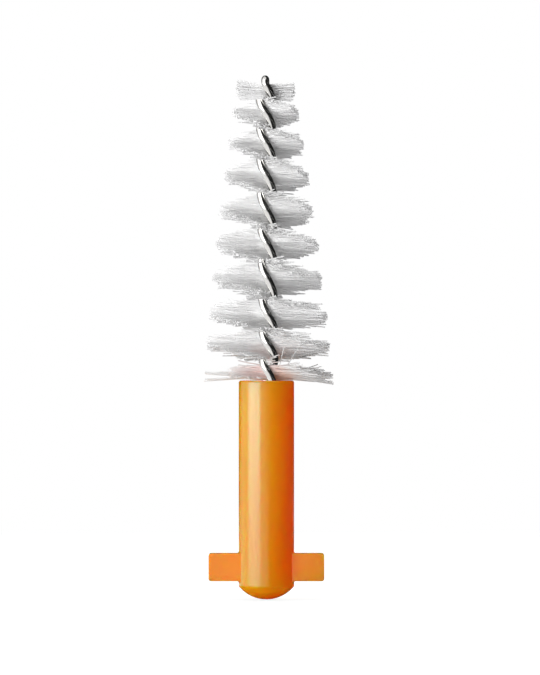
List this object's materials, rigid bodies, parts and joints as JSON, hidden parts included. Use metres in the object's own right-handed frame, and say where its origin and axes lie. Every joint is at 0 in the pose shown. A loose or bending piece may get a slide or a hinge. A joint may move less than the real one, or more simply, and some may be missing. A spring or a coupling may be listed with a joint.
{
  "type": "interdental brush",
  "caption": "Small conical brush of white filaments held in a twisted wire, on an orange round shank with a domed end and a flat cross key that locks into a handle.",
  "frame": {"origin": "lowest point of the shank's domed end, on the axis of the brush", "axes": "+Z along the axis from the domed end towards the brush's tip, X along the cross key's wings, Y through the key's thickness"},
  "size_m": [0.006, 0.0059, 0.0239],
  "materials": {
    "shank": "gloss",
    "wire": "polished",
    "filament": "satin"
  },
  "bodies": {
    "root": {"shank": "shank", "core_wire": "wire", "bristle_row_01": "filament", "bristle_row_02": "filament", "bristle_row_03": "filament", "bristle_row_04": "filament", "bristle_row_05": "filament", "bristle_row_06": "filament", "bristle_row_07": "filament", "bristle_row_08": "filament", "bristle_row_09": "filament", "bristle_row_10": "filament"}
  },
  "joints": []
}
